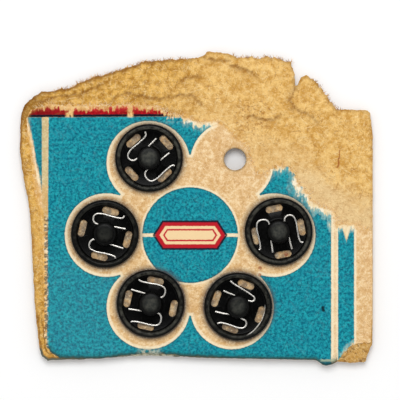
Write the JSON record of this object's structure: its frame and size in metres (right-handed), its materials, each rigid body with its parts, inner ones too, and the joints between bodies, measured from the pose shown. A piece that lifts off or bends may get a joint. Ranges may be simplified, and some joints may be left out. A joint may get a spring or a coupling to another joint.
{
  "type": "card of snap fasteners",
  "caption": "Torn strawboard card with a worn printed face, holding sew-on snap fasteners closed through punched holes in a ring; the last hole is empty.",
  "frame": {"origin": "middle of the card's outline, on the plane that the studs behind the card stand on", "axes": "+X to the right of the printed face and +Y to its torn top edge, +Z out of the printed face"},
  "size_m": [0.0624, 0.0556, 0.0037],
  "materials": {
    "strawboard": "torn and worn strawboard",
    "printed_paper": "matte printed paper, blue on cream",
    "black_japanned_metal": "black japanned, worn on the rims",
    "spring_wire": "bright drawn wire"
  },
  "bodies": {
    "root": {"board": "strawboard", "face_paper": "printed_paper", "socket_left": "black_japanned_metal", "socket_top_left": "black_japanned_metal", "socket_bottom_left": "black_japanned_metal", "socket_bottom_right": "black_japanned_metal", "socket_right": "black_japanned_metal", "stud_left": "black_japanned_metal", "stud_top_left": "black_japanned_metal", "stud_bottom_left": "black_japanned_metal", "stud_bottom_right": "black_japanned_metal", "stud_right": "black_japanned_metal", "spring_a_left": "spring_wire", "spring_b_left": "spring_wire", "spring_a_top_left": "spring_wire", "spring_b_top_left": "spring_wire", "spring_a_bottom_left": "spring_wire", "spring_b_bottom_left": "spring_wire", "spring_a_bottom_right": "spring_wire", "spring_b_bottom_right": "spring_wire", "spring_a_right": "spring_wire", "spring_b_right": "spring_wire"}
  },
  "joints": []
}
